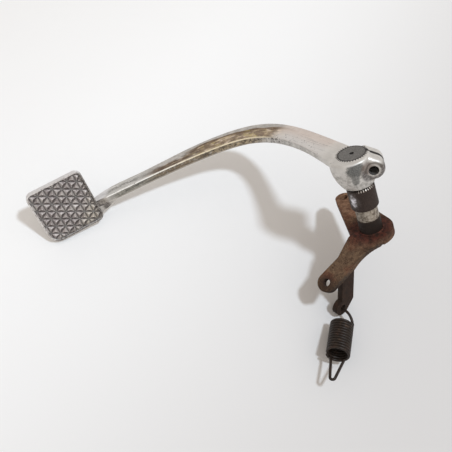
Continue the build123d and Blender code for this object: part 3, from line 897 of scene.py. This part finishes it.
# Painted shade: faces that look sideways and down, toward the table, are darkened.
under = step(dot(normal(), TABLE_NORMAL), 0.35, 0)
coat(under, 0.5, rgb(34, 27, 22))
fill(principled, {"Base Color": bench.tone, "Metallic": 0.05, "Roughness": scaly["Roughness"],
                  "Specular IOR Level": 0.2,
                  "Normal": bump(scaly["Height"], 0.6, 0.35, worn["Normal"])})
tell(rusty_steel.name)

# %% [markdown]
# ## Spring wire
# The wire is dark and oily, with thin brown rust between the turns. It keeps a soft sheen on the outside.

# %% Spring steel
spring_steel, principled = new_finish("spring_steel")
place = millimetres()
scaly = group(rust, Place=place, Size=5, Red=0.3, Dark=0.6)
film = patch(place, size=4, cover=0.82, soft=0.15)
fill(principled, {"Base Color": cover(scaly["Color"], film, 0.85, rgb(32, 25, 21)), "Metallic": 0.1,
                  "Roughness": blend(film, 0.62, 0.42), "Specular IOR Level": 0.3,
                  "Normal": bump(scaly["Height"], 0.35, 0.15)})
tell(spring_steel.name)

# %% [markdown]
# Every solid gets its finish. The shapes of the solids stay as they are.

# %% Finishes on the solids
finish_of = {"pedal": cast_alloy, "shaft": shaft_steel, "lever": rusty_steel, "hub_weld": rusty_steel,
             "spring_tab": rusty_steel, "tab_weld": rusty_steel, "return_spring": spring_steel}
for name, finish in finish_of.items():
    nodes[name].data.materials.clear()
    nodes[name].data.materials.append(finish)
print("dressed", len(finish_of), "solids")

# %% [markdown]
# ## Growing pieces with Geometry Nodes
# The spring and the welds each follow a path by a rule, so a node tree grows them. Every tree starts with
# the same inputs and ends with the same three nodes.

# %% Helpers for trees
def new_tree(name, numbers):
    """A geometry tree with a path, some numbers and a finish as inputs, and a mesh as output."""
    tree = bpy.data.node_groups.new(name, "GeometryNodeTree")
    tree.interface.new_socket("Path", in_out="INPUT", socket_type="NodeSocketGeometry")
    for key, value in numbers.items():
        tree.interface.new_socket(key, in_out="INPUT", socket_type=FLOAT).default_value = value
    tree.interface.new_socket("Finish", in_out="INPUT", socket_type="NodeSocketMaterial")
    tree.interface.new_socket("Piece", in_out="OUTPUT", socket_type="NodeSocketGeometry")
    start = tree.nodes.new("NodeGroupInput")
    end = tree.nodes.new("NodeGroupOutput")
    bench.tree = tree
    return tree, start.outputs, end


def end_tree(given, result, mesh):
    """Smooth shading, real geometry and the finish: the end of every tree."""
    smooth = node("GeometryNodeSetShadeSmooth", {"Geometry": mesh})
    real = node("GeometryNodeRealizeInstances", {"Geometry": smooth.outputs[0]})
    dressed = node("GeometryNodeSetMaterial", {"Geometry": real.outputs[0], "Material": given["Finish"]})
    fill(result, {"Piece": dressed.outputs[0]})
    tell(bench.tree.name)


def swept(line, radius, sides, **more):
    """A round section swept along a line."""
    section = node("GeometryNodeCurvePrimitiveCircle", {"Resolution": sides, "Radius": radius})
    return node("GeometryNodeCurveToMesh", {"Curve": line, "Profile Curve": section.outputs[0],
                                            **more}).outputs[0]


print("tree helpers ready")

# %% [markdown]
# The next helper gives a start curve to a tree, sets the tree's named inputs, and keeps the result as a
# plain mesh whose object sits at the origin.

# %% Helper that grows a piece
def grow(name, tree, splines, closed, place, values):
    """Runs a tree on a path of straight pieces, in metres, and returns a plain mesh object at its place."""
    path = bpy.data.curves.new(name + "_path", "CURVE")
    path.dimensions = "3D"
    for points in splines:
        spline = path.splines.new("POLY")
        spline.points.add(len(points) - 1)
        for point, where in zip(spline.points, points):
            point.co = (*where, 1.0)
        spline.use_cyclic_u = closed
    carrier = put(name + "_path", path)
    modifier = carrier.modifiers.new(name, "NODES")
    modifier.node_group = tree
    for item in tree.interface.items_tree:
        if item.in_out == "INPUT" and item.name in values:
            modifier[item.identifier] = values[item.name]
    seen = carrier.evaluated_get(bpy.context.evaluated_depsgraph_get())
    mesh = bpy.data.meshes.new_from_object(seen)
    mesh.name = name
    mesh.transform(place)
    bpy.data.objects.remove(carrier)
    bpy.data.curves.remove(path)
    piece = put(name, mesh)
    print(name, len(mesh.polygons), "faces")
    return piece


print("ready to grow pieces")

# %% [markdown]
# ## The return spring
# A spring like this is one wire wound on a mandrel. The coil follows a rule, so a Spiral node winds it. The
# hook and the long loop were bent by hand, so they come as two drawn ends. The tree threads hook, coil and
# loop onto one line: every point gets a number for its order, and Points to Curves joins them in that
# order. Then a round section is swept along the line.

# %% The tree of the spring
COIL_STEPS, WIRE_SIDES = 40, 14
wound_spring, given, result = new_tree(
    "wound_spring", {"Wire radius": 0.001, "Coil radius": 0.0075, "Turns": 12.5, "Coil length": 0.026})
index = node("GeometryNodeInputIndex").outputs[0]
spline_number = node("GeometryNodeFieldOnDomain", {0: index}, domain="CURVE", data_type="INT").outputs[0]
part_way = node("GeometryNodeSplineParameter").outputs["Factor"]
coil = node("GeometryNodeCurveSpiral", {
    "Resolution": COIL_STEPS, "Rotations": given["Turns"], "Start Radius": given["Coil radius"],
    "End Radius": given["Coil radius"], "Height": given["Coil length"]})
ends_order = plus(times(spline_number, 2.0), part_way)
coil_order = plus(part_way, 1.0)
threaded = node("GeometryNodeJoinGeometry")
for curve, order in ((given["Path"], ends_order), (coil.outputs[0], coil_order)):
    numbered = node("GeometryNodeStoreNamedAttribute", {"Geometry": curve, "Name": "order", "Value": order},
                    data_type="FLOAT", domain="POINT")
    dots = node("GeometryNodeCurveToPoints", {"Curve": numbered.outputs[0]}, mode="EVALUATED")
    feed(threaded.inputs[0], dots.outputs["Points"])
order = node("GeometryNodeInputNamedAttribute", {"Name": "order"}, data_type="FLOAT")
one_line = node("GeometryNodePointsToCurves", {"Points": threaded.outputs[0], "Weight": order.outputs[0]})
wire = swept(one_line.outputs[0], given["Wire radius"], WIRE_SIDES, **{"Fill Caps": True})
end_tree(given, result, wire)

# %% [markdown]
# The coil hangs on the tab, so its axes follow from the tab's hole and from the way the coil points. The
# sizes repeat the CAD model's.

# %% Frame of the spring
WIRE_R, COIL_R, COIL_PITCH, COILS = 1.0, 7.5, 2.1, 12.5
TAB_T, TAB_HOLE_R = 4.5, 2.3
tab_lean, tab_turn = math.radians(14.0), math.radians(46.0)
tab_hole = Vector((-34.8, -14.9, -81.4))
tab_up = Vector((math.sin(tab_lean), 0, math.cos(tab_lean)))
tab_axis = Vector((math.cos(tab_turn) * math.cos(tab_lean), -math.sin(tab_turn),
                   -math.cos(tab_turn) * math.sin(tab_lean)))
coil_way = Vector((-0.215, -1.0, -0.13)).normalized()
side_way = (tab_axis - coil_way * tab_axis.dot(coil_way)).normalized()
third_way = coil_way.cross(side_way)
coil_top = Vector((-35.5, -30.0, -84.5))
coil_place = Matrix.Translation(coil_top * MM) @ Matrix((side_way, third_way, coil_way)).transposed().to_4x4()


def in_coil(vector):
    """A direction or an offset from the coil's top, in the coil's own axes."""
    return Vector((vector.dot(side_way), vector.dot(third_way), vector.dot(coil_way)))


print("coil runs along", [round(x, 3) for x in coil_way])

# %% [markdown]
# The hook and the loop are straight runs joined by arcs, as the wire was bent round pins. One helper draws
# an arc, and another joins two ends by two arcs that meet smoothly.

# %% Bends of the wire
BEND_POINTS = 14


def arc(start, way, end):
    """Points of an arc that leaves start in a direction and ends at end; start itself is left out."""
    chord = end - start
    side = (chord - way * chord.dot(way)).normalized()
    half = math.atan2(chord.dot(side), chord.dot(way))
    points = []
    for k in range(1, BEND_POINTS + 1):
        part = k / BEND_POINTS * half
        reach = chord.length * math.sin(part) / math.sin(half)
        points.append(start + (way * math.cos(part) + side * math.sin(part)) * reach)
    return points


def two_arcs(start, start_way, end, end_way):
    """Points of two arcs that lead smoothly from start to end."""
    chord, ways = end - start, start_way + end_way
    slack = 2 * (1 - start_way.dot(end_way))
    reach = math.sqrt(chord.dot(ways) ** 2 + slack * chord.dot(chord)) - chord.dot(ways)
    first, second = start + start_way * (reach / slack), end - end_way * (reach / slack)
    meet = (first + second) / 2
    return arc(start, start_way, meet) + arc(meet, (second - first).normalized(), end)


print("an arc has", BEND_POINTS, "points")

# %% [markdown]
# The hook passes through the tab's hole, close to the wall that the spring pulls on, and bends into the
# first turn.

# %% The hook
HOOK_PLAY, HOOK_TIP, HOOK_OUT = 0.3, 2.4, 2.8
climb = math.atan(COIL_PITCH / (2 * math.pi * COIL_R))
hook_way = in_coil(tab_axis)
pull_way = (coil_way - tab_axis * tab_axis.dot(coil_way)).normalized()
hook_middle = in_coil(tab_hole + pull_way * (TAB_HOLE_R - WIRE_R - HOOK_PLAY) - coil_top)
hook_start = hook_middle - hook_way * (TAB_T / 2 + HOOK_TIP)
hook_exit = hook_middle + hook_way * (TAB_T / 2 + HOOK_OUT)
coil_start, start_way = Vector((COIL_R, 0, 0)), Vector((0, math.cos(climb), math.sin(climb)))
hook = [hook_start, hook_exit] + two_arcs(hook_exit, hook_way, coil_start, start_way)[:-1]
print("hook", len(hook), "points")

# %% [markdown]
# The loop leaves the last turn, runs out straight, turns back and ends beside the coil.

# %% The loop
LOOP_OUT, LOOP_BEND_R, LOOP_BACK = 12.5, 1.8, 15.0
lean, spread = math.radians(5.0), math.radians(22.0)
coil_length = COILS * COIL_PITCH
coil_stop, stop_way = Vector((-COIL_R, 0, coil_length)), Vector((0, -math.cos(climb), math.sin(climb)))
loop_way = Vector((math.sin(lean), 0, math.cos(lean)))
loop_side = Vector((math.cos(lean), 0, -math.sin(lean)))
loop_start = Vector((-4.2, 0, coil_length + 5.0))
loop_turn = loop_start + loop_way * LOOP_OUT
half_turn = (math.pi - spread) / 2
bend_way = loop_side * math.sin(half_turn) + loop_way * math.cos(half_turn)
loop_back = loop_turn + bend_way * (2 * LOOP_BEND_R * math.sin(half_turn))
loop_tip = loop_back + (loop_side * math.sin(spread) - loop_way * math.cos(spread)) * LOOP_BACK
loop = two_arcs(coil_stop, stop_way, loop_start, loop_way) + [loop_turn]
loop += arc(loop_turn, loop_way, loop_back) + [loop_tip]
print("loop", len(loop), "points")

# %% [markdown]
# The tree winds the wire. The wire takes the place of the CAD spring and swings with its body.

# %% Wind the spring
spring_wire = grow("spring_wire", wound_spring, [[p * MM for p in hook], [p * MM for p in loop]], False,
                   coil_place,
                   {"Wire radius": WIRE_R * MM, "Coil radius": COIL_R * MM, "Turns": COILS,
                    "Coil length": coil_length * MM, "Finish": spring_steel})
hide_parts("return_spring")
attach(spring_wire, "spring")

# %% [markdown]
# ## The welds
# A weld bead is a row of small overlapping ripples. One tree lays a bead along any closed path: the section
# swells and shrinks with the length run, and a little noise with a fixed seed keeps it from looking
# machined. It is used for the ring round the shank and for the seam round the tab.

# %% The tree of the beads
PATH_STEP, BEAD_SIDES, LUMP_SCALE = 0.0002, 12, 700.0
weld_bead, given, result = new_tree(
    "weld_bead", {"Bead radius": 0.0008, "Ripple": 0.0012, "Depth": 0.25, "Corner": 0.0006, "Seed": 3.0})
bent = node("GeometryNodeFilletCurve", {"Curve": given["Path"], "Radius": given["Corner"], "Count": 5,
                                        "Limit Radius": True}, mode="POLY")
fine_path = node("GeometryNodeResampleCurve", {"Curve": bent.outputs[0], "Length": PATH_STEP}, mode="LENGTH")
run = node("GeometryNodeSplineParameter").outputs["Length"]
ripple = calc("FRACT", calc("DIVIDE", run, given["Ripple"]))
lumps = node("ShaderNodeTexNoise", {"Scale": LUMP_SCALE, "W": given["Seed"]},
             noise_dimensions="4D").outputs[0]
swell = plus(minus(1.1, times(ripple, given["Depth"])), sway(lumps, 0.5))
bead = swept(fine_path.outputs[0], given["Bead radius"], BEAD_SIDES, Scale=swell)
end_tree(given, result, bead)

# %% [markdown]
# The ring weld runs once round the shank, on top of the lever's hub.

# %% The ring round the shank
PLATE_TOP = -28.75
RING_R, RING_Z, RING_POINTS = 8.3, PLATE_TOP + 0.25, 96
turns = [2 * math.pi * k / RING_POINTS for k in range(RING_POINTS)]
ring = [Vector((RING_R * math.cos(turn), RING_R * math.sin(turn), RING_Z)) * MM for turn in turns]
ring_weld = grow("ring_weld", weld_bead, [ring], True, Matrix.Identity(4),
                 {"Bead radius": 0.8 * MM, "Ripple": 1.3 * MM, "Depth": 0.3, "Corner": 0.1 * MM, "Seed": 3.0,
                  "Finish": rusty_steel})
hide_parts("hub_weld")
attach(ring_weld, "pedal_assembly")

# %% [markdown]
# The seam round the tab lies where the bar meets the underside of the lever's front arm. That underside is
# a slanted plane, so each corner of the bar is followed up along the bar until it meets the plane.

# %% The seam round the tab
BEND_OUT, PLATE_T = 11.0, 5.5
BAR_LOW, BAR_HIGH, SEAM_OUT, SEAM_DROP = -11.0, 1.0, 0.25, 0.3
bend_turn, bend = math.radians(-27.0), math.radians(40.0)
off_hub = Vector((math.sin(bend_turn), -math.cos(bend_turn), 0))
arm_normal = Vector((0, 0, math.cos(bend))) + off_hub * math.sin(bend)
underside = Vector((0, 0, PLATE_TOP)) + off_hub * BEND_OUT - arm_normal * PLATE_T
tab_side = tab_axis.cross(tab_up)
seam = []
for side, thick in ((BAR_LOW, -1), (BAR_HIGH, -1), (BAR_HIGH, 1), (BAR_LOW, 1)):
    outward = SEAM_OUT if side == BAR_HIGH else -SEAM_OUT
    corner = tab_hole + tab_side * (side + outward) + tab_axis * thick * (TAB_T / 2 + SEAM_OUT)
    climb_up = ((underside - corner).dot(arm_normal) - SEAM_DROP) / tab_up.dot(arm_normal)
    seam.append((corner + tab_up * climb_up) * MM)
seam_weld = grow("seam_weld", weld_bead, [seam], True, Matrix.Identity(4),
                 {"Bead radius": 0.95 * MM, "Ripple": 1.4 * MM, "Depth": 0.3, "Corner": 1.0 * MM, "Seed": 8.0,
                  "Finish": rusty_steel})
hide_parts("tab_weld")
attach(seam_weld, "pedal_assembly")
